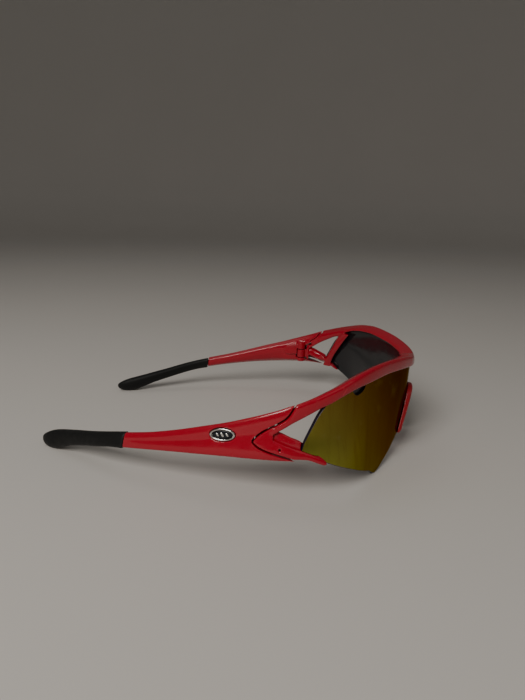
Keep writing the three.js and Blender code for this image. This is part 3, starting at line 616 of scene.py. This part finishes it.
# ---- temples --------------------------------------------------------------------------------------------
temple_top = curve([(81.5, 39.5), (84.4, 38.6), (90.7, 36.4), (99.8, 33.4), (109.2, 30.4), (119, 27.7), (129.5, 24.7), (140.8, 21.8), (151.8, 19.6), (161, 17.7), (170.3, 15.7)])
temple_low = curve([(81.5, 17.6), (90.2, 17.9), (99.6, 17.8), (109.2, 17.4), (119.1, 16.8), (129.7, 15.9), (141.1, 14.6), (154.7, 12.7), (161.5, 11.6)])
temple_t = curve([(81.5, ARM_T + 0.1), (100, ARM_T + 0.1), (110, 4.4), (130, 4.0), (152, 3.9), (175, 4.3)])
tongue_z = curve([(148, 16.9), (153.2, 16.1), (161, 14.7), (170.3, 12.4), (179, 10.0), (188, 7.8)])


def temple_section(s):
    zt, zb = temple_top(s), temple_low(s)
    h, t = zt - zb, temple_t(s)
    e, q = min(1, h / 12), min(1, h / 14) / h

    def P(v, d):
        return (zb + v * h, d - (upright(s) * flare(s, zb + v * h) if d < -2 and v < 0.6 else 0), s + 0.6 * (0.5 - v) * smooth((s - 135) / 15))

    return [P(0.0, -1.5), P(0.035, -0.85 * e), P(0.13, -0.3 * e), P(0.36, 0), P(0.62, -0.12), P(0.83, -0.5), P(0.95, -1.0), P(1.0, -1.7),
            P(1 - 1.3 * q, -t + 0.8), P(1 - 2.2 * q, -t), P(0.5, -t - 0.1), P(3.3 * q, -t), P(2.2 * q, -t + 0.7)]


def tongue_loops(grow, s0, s1):
    loops = []
    for s in steps(s0, s1, 2.0):
        z, m = tongue_z(s), -temple_t(s) / 2 - 0.1
        a, b = TONGUE[0] + grow, TONGUE[1] + grow
        sec = [(z - a, m - b * 0.6), (z - a * 0.6, m - b), (z + a * 0.6, m - b), (z + a, m - b * 0.6), (z + a, m + b * 0.6), (z + a * 0.6, m + b), (z - a * 0.6, m + b), (z - a, m + b * 0.6)]
        loops.append([W(s, p, d) for p, d in sec])
    return loops


def badge_frame():
    wx, wy, nx, ny = wall(BADGE_S)
    rake, tilt = -0.07, 0.11
    n0, t0, z0 = Vector((nx, ny, 0)), Vector((-ny, nx, 0)), Vector((0, 0, 1))
    t = t0 * math.cos(rake) + z0 * math.sin(rake)
    up0 = z0 * math.cos(rake) - t0 * math.sin(rake)
    n = n0 * math.cos(tilt) + up0 * math.sin(tilt)
    up = n.cross(t)
    c = Vector(W(BADGE_S, BADGE_Z, -0.5))
    return lambda u, v, d: tuple(c + t * u + up * v + n * d)


BF = badge_frame()


def oval(rx, rz, d, sides=72):
    return [BF(rx * math.cos(2 * math.pi * i / sides), rz * math.sin(2 * math.pi * i / sides), d) for i in range(sides)]


def build_temple():
    stations = steps(81.5, 105, 0.5) + steps(105, 154.05, 0.7)[1:]
    o = wrap_loft("temple", stations, temple_section)
    Y = plan_y
    cut = prism_x("mouth", [(Y(70), 50), (Y(83.3) + 0.28, 50)] + [(Y(s) + 0.2, z + HALF_GAP) for s, z in UP]
                  + [(Y(98.7) + 0.35, 24.8), (Y(98.7) + 0.3, 24.1)] + [(Y(s) + 0.1, z - HALF_GAP) for s, z in reversed(LOW)]
                  + [(Y(82.4), 10), (Y(70), 10)], 50, 80)
    combine(o, cut, "DIFFERENCE")
    combine(o, lap("rebate", 0.3), "DIFFERENCE")
    combine(o, prism_x("pad_in", [(59.8, 24.2), (66, 23.8), (67.2, 24.8), (67.2, 27.6), (66, 28.8), (59.8, 30.4)], HINGE_X - 1.4, HINGE_X + 1.5), "UNION")
    combine(o, post("kt", HINGE_X, HINGE_Y, KNUCKLE_R, *KNUCKLE_TOP), "UNION")
    combine(o, post("kl", HINGE_X, HINGE_Y, KNUCKLE_R, *KNUCKLE_LOW), "UNION")
    combine(o, post("mr", HINGE_X, HINGE_Y, KNUCKLE_R + 0.45, KNUCKLE_LOW[1], KNUCKLE_TOP[0]), "DIFFERENCE")
    combine(o, post("bore", HINGE_X, HINGE_Y, SCREW_R + GAP, 10, KNUCKLE_TOP[1] - 0.8), "DIFFERENCE")
    combine(o, post("head", HINGE_X, HINGE_Y, SCREW_HEAD_R + GAP, 10, KNUCKLE_LOW[0] + 0.9), "DIFFERENCE")
    combine(o, loft("pocket", [oval(BADGE_RX + 0.22, BADGE_RZ + 0.22, -0.95), oval(BADGE_RX + 0.22, BADGE_RZ + 0.22, 3)]), "DIFFERENCE")
    combine(o, loft("tongue", tongue_loops(0, 148, 186)), "UNION")
    return moulded(o, 0.25, 4)


tip_c = curve([(151.8, 16.1), (161, 14.5), (170.3, 12.4), (179, 10.25), (188, 7.9), (193, 6.3), (198, 4.75), (202, 3.85), (205.5, 3.3), (207.6, 3.1), (208.6, 3.2)])
tip_h = curve([(151.8, 3.3), (161, 3.0), (170.3, 3.0), (179, 3.05), (188, 3.3), (193, 3.7), (198, 4.05), (202, 3.86), (205.5, 3.0), (207.6, 1.8), (208.6, 0.7)])
tip_w = curve([(151.8, 2.05), (170.3, 2.25), (188, 2.7), (198, 2.9), (202, 2.7), (205.5, 2.1), (207.6, 1.2), (208.6, 0.4)])


def build_tip():
    loops = []
    stations = [154.4, 154.48, 154.7] + steps(155.2, 203, 0.6) + steps(203, 208.5, 0.2)[1:]
    for s in stations:
        zc, h, w, m = tip_c(s), tip_h(s), tip_w(s), -temple_t(min(s, 175)) / 2 - 0.1
        ease = 0.3 * max(0, 1 - (s - 154.4) / 0.3)
        h, w = h - ease, w - ease
        ring = []
        for i in range(48):
            a = (i + 0.5) * math.pi / 24
            c, q = math.cos(a), math.sin(a)
            z = max(0.0, zc + h * math.copysign(abs(q) ** 0.8, q))
            ring.append(W(s - 0.6 * (q * 0.5) * (1 - smooth((s - 156) / 20)), z, m + w * math.copysign(abs(c) ** 0.8, c) - 0.18 * (z - zc)))
        loops.append(ring)
    o = loft("tip", loops)
    combine(o, loft("tongue_hole", tongue_loops(GAP, 146, 186.8)), "DIFFERENCE")
    return o


def build_bezel():
    sides = 96
    profile = [(0, -0.6), (0, 0.15), (0.06, 0.36), (0.25, 0.52), (0.5, 0.55), (0.75, 0.48), (0.93, 0.3), (1, 0.1), (1, -0.6)]
    verts, faces, n = [], [], len(profile)
    for i in range(sides):
        a = 2 * math.pi * i / sides
        for f, d in profile:
            rx, rz = BADGE_RX - 0.95 * f, BADGE_RZ - 0.8 * f
            verts.append(BF(rx * math.cos(a), rz * math.sin(a), d))
    for i in range(sides):
        for j in range(n):
            a, b = i * n + j, i * n + (j + 1) % n
            c, e = ((i + 1) % sides) * n + (j + 1) % n, ((i + 1) % sides) * n + j
            faces.append((a, b, c, e))
    return solid("bezel", verts, faces)


def build_inlay():
    rx, rz = BADGE_RX - 0.95 - GAP + 0.12, BADGE_RZ - 0.8 - GAP + 0.12
    rx, rz = min(rx, BADGE_RX - 0.95 - 0.18), min(rz, BADGE_RZ - 0.8 - 0.18)
    return loft("inlay", [oval(rx, rz, -0.6), oval(rx, rz, 0.12), oval(rx - 0.08, rz - 0.08, 0.2), oval(rx - 0.6, rz - 0.4, 0.27), oval(0.4, 0.14, 0.3)])


def build_motif():
    """Three slanted bars in low relief, one mesh."""
    verts, faces = [], []
    for k, (cx, hw, hh) in enumerate(((-1.9, 0.42, 0.62), (0.0, 0.5, 0.82), (1.9, 0.42, 0.62))):
        outline = chaikin([(-hw - 0.3, -hh), (hw - 0.3, -hh), (hw + 0.3, hh), (-hw + 0.3, hh)], 2)
        base = len(verts)
        n = len(outline)
        for d, g in ((0.05, 1.0), (0.38, 1.0), (0.46, 0.8)):
            verts += [BF(cx + u * g, v * g, d) for u, v in outline]
        for i in range(2):
            for j in range(n):
                a, b = base + i * n + j, base + i * n + (j + 1) % n
                faces.append((a, b, b + n, a + n))
        faces.append(tuple(base + j for j in range(n)))
        faces.append(tuple(base + 2 * n + j for j in range(n)))
    return solid("motif", verts, faces)


def build_screw():
    def ring(r, z, sides=40):
        return [(HINGE_X + r * math.cos(2 * math.pi * i / sides), HINGE_Y + OY + r * math.sin(2 * math.pi * i / sides), z) for i in range(sides)]

    o = loft("screw", [ring(1.08, 19.8), ring(1.25, 19.88), ring(1.3, 20.02), ring(1.3, 20.5), ring(1.22, 20.6), ring(0.7, 20.62), ring(0.7, 30.3), ring(0.55, 30.5)])
    slot = loft("slot", [[(HINGE_X + x, HINGE_Y + OY + y, z) for x, y in ((-2, -0.17), (2, -0.17), (2, 0.17), (-2, 0.17))] for z in (19.0, 20.15)])
    return combine(o, slot, "DIFFERENCE")


# ---- materials ---------------------------------------------------------------------------------------------
class Nodes:
    def __init__(self, name):
        self.mat = bpy.data.materials.new(name)
        self.mat.use_nodes = True
        self.tree = self.mat.node_tree
        self.bsdf = next(n for n in self.tree.nodes if n.type == "BSDF_PRINCIPLED")
        self.coord = self.tree.nodes.new("ShaderNodeTexCoord")

    def new(self, kind, **values):
        n = self.tree.nodes.new(kind)
        for k, v in values.items():
            setattr(n, k, v)
        return n

    def link(self, a, b):
        self.tree.links.new(a, b)

    def set(self, **values):
        for k, v in values.items():
            self.bsdf.inputs[k.replace("_", " ")].default_value = v

    def noise(self, scale, detail=4.0, rough=0.55, stretch=None):
        n = self.new("ShaderNodeTexNoise")
        n.inputs["Scale"].default_value = scale
        n.inputs["Detail"].default_value = detail
        n.inputs["Roughness"].default_value = rough
        if stretch:
            m = self.new("ShaderNodeMapping")
            m.inputs["Scale"].default_value = stretch
            self.link(self.coord.outputs["Object"], m.inputs["Vector"])
            self.link(m.outputs["Vector"], n.inputs["Vector"])
        else:
            self.link(self.coord.outputs["Object"], n.inputs["Vector"])
        return n.outputs["Fac"]

    def ramp(self, fac, stops, mode="LINEAR"):
        r = self.new("ShaderNodeValToRGB")
        r.color_ramp.interpolation = mode
        while len(r.color_ramp.elements) < len(stops):
            r.color_ramp.elements.new(0.5)
        for e, (p, c) in zip(r.color_ramp.elements, stops):
            e.position = p
            e.color = (*c, 1.0)
        self.link(fac, r.inputs["Fac"])
        return r.outputs["Color"]

    def span(self, value, a, b, c, d):
        m = self.new("ShaderNodeMapRange")
        for k, v in zip(("From Min", "From Max", "To Min", "To Max"), (a, b, c, d)):
            m.inputs[k].default_value = v
        self.link(value, m.inputs["Value"])
        return m.outputs["Result"]

    def mix(self, fac, a, b, blend="MIX"):
        m = self.new("ShaderNodeMix", data_type="RGBA", blend_type=blend)
        for sock, v in (("Factor", fac), ("A", a), ("B", b)):
            s = [i for i in m.inputs if i.name == sock and i.enabled][0]
            if isinstance(v, (tuple, float, int)):
                s.default_value = (*v, 1.0) if isinstance(v, tuple) else v
            else:
                self.link(v, s)
        return [o for o in m.outputs if o.enabled][0]

    def math(self, op, a, b):
        m = self.new("ShaderNodeMath", operation=op)
        for i, v in enumerate((a, b)):
            if isinstance(v, (float, int)):
                m.inputs[i].default_value = v
            else:
                self.link(v, m.inputs[i])
        return m.outputs[0]

    def bump(self, height, strength, distance):
        b = self.new("ShaderNodeBump")
        b.inputs["Strength"].default_value = strength
        b.inputs["Distance"].default_value = distance
        self.link(height, b.inputs["Height"])
        self.link(b.outputs["Normal"], self.bsdf.inputs["Normal"])

    # Painted highlight: lightens the base colour towards a lighter colour on convex edges (by Pointiness), standing in
    # for light catching the edges.
    def edge_highlight(self, colour, light, low=0.5, high=0.62, amount=0.5):
        g = self.new("ShaderNodeNewGeometry")
        fac = self.span(g.outputs["Pointiness"], low, high, 0.0, amount)
        return self.mix(fac, colour, light)


def gloss_red():
    n = Nodes("gloss_red")
    colour = n.mix(n.noise(60.0), RED_A, RED_B)
    fine = n.noise(1400.0, 2.0)
    colour = n.mix(n.span(fine, 0.3, 0.7, 0.0, 0.25), colour, RED_C)
    # Painted shade: the base colour is darkened towards deep maroon where ambient occlusion is low, in crevices, gap
    # lines and the scooped faces.
    ao = n.new("ShaderNodeAmbientOcclusion", samples=8)
    ao.inputs["Distance"].default_value = 0.005
    colour = n.mix(n.span(ao.outputs["AO"], 0.25, 0.85, 0.72, 0.0), colour, (0.10, 0.0005, 0.004))
    # Painted highlight: pink-red rim highlights along the convex edges of the frame and arms.
    n.link(n.edge_highlight(colour, RED_RIM_HIGHLIGHT, 0.51, 0.6, 0.35), n.bsdf.inputs["Base Color"])
    n.link(n.span(n.noise(220.0, 5.0), 0.3, 0.7, 0.13, 0.24), n.bsdf.inputs["Roughness"])
    n.bump(n.noise(500.0, 3.0), 0.06, 0.0004)
    n.set(Coat_Weight=0.3, Coat_Roughness=0.06, IOR=1.4)
    return n.mat


RED_A, RED_B, RED_C, RED_RIM_HIGHLIGHT = (0.43, 0.005, 0.022), (0.36, 0.004, 0.017), (0.48, 0.009, 0.029), (0.72, 0.04, 0.07)


def bridge_red():
    n = Nodes("bridge_red")
    colour = n.mix(n.noise(180.0), (0.42, 0.008, 0.016), (0.30, 0.005, 0.012))
    # Painted highlight: lighter pink along the bridge's rounded edges.
    n.link(n.edge_highlight(colour, (0.75, 0.09, 0.10), 0.51, 0.6, 0.5), n.bsdf.inputs["Base Color"])
    n.link(n.span(n.noise(300.0, 4.0), 0.3, 0.7, 0.24, 0.38), n.bsdf.inputs["Roughness"])
    n.bump(n.noise(900.0, 3.0), 0.08, 0.0003)
    n.set(IOR=1.5)
    return n.mat


def rubber(name, a, b, scale=2600.0, strength=0.25):
    n = Nodes(name)
    colour = n.mix(n.noise(90.0), a, b)
    # Painted highlight: a lighter grey on the rubber's convex edges.
    n.link(n.edge_highlight(colour, tuple(3.2 * c + 0.01 for c in b), 0.505, 0.57, 0.5), n.bsdf.inputs["Base Color"])
    n.link(n.span(n.noise(400.0, 4.0), 0.3, 0.7, 0.46, 0.66), n.bsdf.inputs["Roughness"])
    n.bump(n.noise(scale, 2.0), strength, 0.0002)
    n.set(Sheen_Weight=0.03, Sheen_Roughness=0.5, IOR=1.38, Specular_IOR_Level=0.35)
    return n.mat


def metal(name, a, b, rough, scratch=(1.0, 1.0, 1.0)):
    n = Nodes(name)
    colour = n.mix(n.noise(400.0, 3.0, stretch=scratch), a, b)
    # Painted highlight: a near-white on the convex edges of the metal parts.
    n.link(n.edge_highlight(colour, (0.9, 0.89, 0.87), 0.51, 0.6, 0.5), n.bsdf.inputs["Base Color"])
    n.link(n.span(n.noise(900.0, 4.0, stretch=scratch), 0.3, 0.7, rough * 0.8, rough * 1.5), n.bsdf.inputs["Roughness"])
    n.bump(n.noise(1600.0, 2.0, stretch=scratch), 0.08, 0.0002)
    n.set(Metallic=1.0)
    return n.mat


def enamel():
    n = Nodes("badge_enamel")
    colour = n.mix(n.noise(500.0), (0.010, 0.012, 0.016), (0.022, 0.024, 0.028))
    n.link(colour, n.bsdf.inputs["Base Color"])
    n.link(n.span(n.noise(900.0, 3.0), 0.3, 0.7, 0.16, 0.3), n.bsdf.inputs["Roughness"])
    n.bump(n.noise(1500.0, 2.0), 0.05, 0.0002)
    n.set(IOR=1.25)
    return n.mat


def mirror_lens():
    n = Nodes("mirror_lens")
    sep = n.new("ShaderNodeSeparateXYZ")
    n.link(n.coord.outputs["Object"], sep.inputs[0])
    ax = n.math("ABSOLUTE", sep.outputs["X"], 0.0)
    side = n.span(ax, 0.012, 0.066, 0.0, 1.0)
    high = n.span(sep.outputs["Z"], 0.0, 0.045, 0.0, 1.0)
    # mirror coating tint: green at the low outer edge, through olive and gold, to amber-brown at the top and the
    # middle; partly painted reflection, since the hue shift and the brighter low outer edge stand in for the coating's
    # change with the viewing angle
    tone = n.math("SUBTRACT", n.math("MULTIPLY", side, 0.85), n.math("MULTIPLY", high, 0.55))
    tone = n.math("ADD", tone, n.math("MULTIPLY", n.noise(38.0, 2.0), 0.10))
    tone = n.math("ADD", tone, 0.28)
    colour = n.ramp(tone, [(0.02, LENS_TONES[0]), (0.22, LENS_TONES[1]), (0.48, LENS_TONES[2]), (0.72, LENS_TONES[3]), (0.98, LENS_TONES[4])])
    streak = n.noise(150.0, 3.0, 0.6, stretch=(3.0, 3.0, 0.12))
    colour = n.mix(n.span(streak, 0.5, 0.72, 0.0, 0.30), colour, (0.13, 0.055, 0.012))
    smudge = n.noise(130.0, 3.0, 0.5)
    colour = n.mix(n.span(smudge, 0.62, 0.75, 0.0, 0.14), colour, (0.42, 0.36, 0.20))
    n.link(colour, n.bsdf.inputs["Base Color"])
    n.link(n.span(n.noise(160.0, 4.0), 0.35, 0.75, 0.07, 0.20), n.bsdf.inputs["Roughness"])
    n.bump(n.noise(120.0, 2.0), 0.03, 0.0003)
    n.set(Metallic=1.0, Specular_Tint=(0.50, 0.40, 0.26, 1.0))
    return n.mat


LENS_TONES = [(0.105, 0.048, 0.010), (0.145, 0.068, 0.014), (0.19, 0.112, 0.022), (0.25, 0.20, 0.034), (0.30, 0.31, 0.046)]


def lens_inner():
    n = Nodes("lens_inner")
    sep = n.new("ShaderNodeSeparateXYZ")
    n.link(n.coord.outputs["Object"], sep.inputs[0])
    high = n.span(sep.outputs["Z"], 0.0, 0.045, 0.0, 1.0)
    colour = n.ramp(high, [(0.0, (0.006, 0.014, 0.016)), (0.5, (0.010, 0.011, 0.014)), (1.0, (0.012, 0.011, 0.012))])
    colour = n.mix(n.span(n.noise(140.0, 3.0), 0.5, 0.75, 0.0, 0.25), colour, (0.03, 0.032, 0.036))
    n.link(colour, n.bsdf.inputs["Base Color"])
    n.link(n.span(n.noise(200.0, 4.0), 0.35, 0.75, 0.09, 0.20), n.bsdf.inputs["Roughness"])
    n.bump(n.noise(120.0, 2.0), 0.03, 0.0003)
    n.set(IOR=1.5)
    return n.mat


def lens_rim():
    n = Nodes("lens_rim")
    colour = n.mix(n.noise(300.0), (0.004, 0.004, 0.008), (0.012, 0.008, 0.020))
    # Painted highlight: a faint purple on the edges of the lens rim.
    n.link(n.edge_highlight(colour, (0.06, 0.03, 0.10), 0.51, 0.58, 0.6), n.bsdf.inputs["Base Color"])
    n.link(n.span(n.noise(700.0, 3.0), 0.3, 0.7, 0.22, 0.4), n.bsdf.inputs["Roughness"])
    n.bump(n.noise(900.0, 2.0), 0.08, 0.0002)
    return n.mat


RED = gloss_red()
BRIDGE = bridge_red()
GRIP = rubber("grip_rubber", (0.0045, 0.0052, 0.0058), (0.0080, 0.0078, 0.0074))
SOFT = rubber("soft_rubber", (0.006, 0.006, 0.0065), (0.011, 0.0105, 0.010), 1800.0, 0.18)
CHROME = metal("badge_chrome", (0.72, 0.71, 0.68), (0.58, 0.57, 0.55), 0.13)
STEEL = metal("screw_steel", (0.42, 0.41, 0.40), (0.30, 0.30, 0.30), 0.26)
ENAMEL = enamel()

# ---- pieces --------------------------------------------------------------------------------------------------
finish_piece(build_front(), "frame_shell", "front", "gloss_red", [RED], "front_frame")
finish_piece(build_lens(), "lens_shield", "front", "mirror_lens", [mirror_lens(), lens_inner(), lens_rim()], "shield_lens", angle=38)
finish_piece(build_bridge(), "bridge_clip", "front", "bridge_red", [BRIDGE], "nose_bridge")

makers = [
    ("pad_", build_pad, "front", "soft_rubber", SOFT, "nose_pad_", None),
    ("arm_shell_", build_temple, "arm", "gloss_red", RED, "temple_", None),
    ("arm_tip_", build_tip, "arm", "grip_rubber", GRIP, "temple_tip_", 50),
    ("badge_ring_", build_bezel, "arm", "badge_chrome", CHROME, "badge_bezel_", 50),
    ("badge_plate_", build_inlay, "arm", "badge_enamel", ENAMEL, "badge_inlay_", 40),
    ("badge_motif_", build_motif, "arm", "badge_chrome", CHROME, None, 40),
    ("pivot_screw_", build_screw, "arm", "screw_steel", STEEL, "hinge_screw_", 35),
]
for prefix, make, body, slot_name, material, node, angle in makers:
    left = make()
    other = mirrored(left, "other")
    for side, o in (("left", left), ("right", other)):
        finish_piece(o, prefix + side, body if body == "front" else side + "_arm", slot_name, [material],
                     node + side if node else None, angle)

# ---- stage and light --------------------------------------------------------------------------------------------
rings = [0.0, 0.6, 1.4, 2.0, 2.25, 2.45, 2.58, 2.65, 2.68, 2.68]
heights = [0.0, 0.0, 0.0, 0.0, 0.03, 0.10, 0.22, 0.40, 0.62, 1.5]
verts, faces, seg = [(0, 0, 0)], [], 96
for r, h in list(zip(rings, heights))[1:]:
    verts += [(r * math.cos(2 * math.pi * i / seg), r * math.sin(2 * math.pi * i / seg), h) for i in range(seg)]
for i in range(seg):
    faces.append((0, 1 + i, 1 + (i + 1) % seg))
for k in range(len(rings) - 2):
    for i in range(seg):
        a, b = 1 + k * seg + i, 1 + k * seg + (i + 1) % seg
        faces.append((a, a + seg, b + seg, b))
floor_mesh = bpy.data.meshes.new("studio_floor")
floor_mesh.from_pydata(verts, [], faces)
floor_mesh.polygons.foreach_set("use_smooth", [True] * len(faces))
floor_mesh.update()
floor = bpy.data.objects.new("studio_floor", floor_mesh)
scene.collection.objects.link(floor)
fn = Nodes("studio_floor")
fn.link(fn.mix(fn.noise(3.0), (0.70, 0.672, 0.635), (0.74, 0.712, 0.675)), fn.bsdf.inputs["Base Color"])
fn.set(Roughness=0.75)
floor_mesh.materials.append(fn.mat)

world = bpy.data.worlds.new("studio")
scene.world = world
world.use_nodes = True
bg = world.node_tree.nodes["Background"]
bg.inputs["Color"].default_value = (1.0, 0.97, 0.93, 1.0)
bg.inputs["Strength"].default_value = 0.10


def softbox(name, where, at, size, power, colour=(1, 0.96, 0.9)):
    d = bpy.data.lights.new(name, "AREA")
    d.shape, d.size, d.size_y, d.energy, d.color = "RECTANGLE", size[0], size[1], power, colour
    o = bpy.data.objects.new(name, d)
    scene.collection.objects.link(o)
    o.location = where
    o.rotation_euler = (Vector(at) - Vector(where)).to_track_quat("-Z", "Y").to_euler()
    return o


softbox("key", (-0.70, 0.17, 0.58), (-0.02, 0, 0.02), (0.36, 0.36), 4.4)
softbox("fill", (-0.5, -0.9, 0.9), (0, 0, 0.02), (0.9, 0.6), 0.7)
softbox("top", (0.2, 0.4, 1.2), (0, 0, 0.02), (0.6, 0.6), 0.6)

bpy.data.collections.remove(bench)
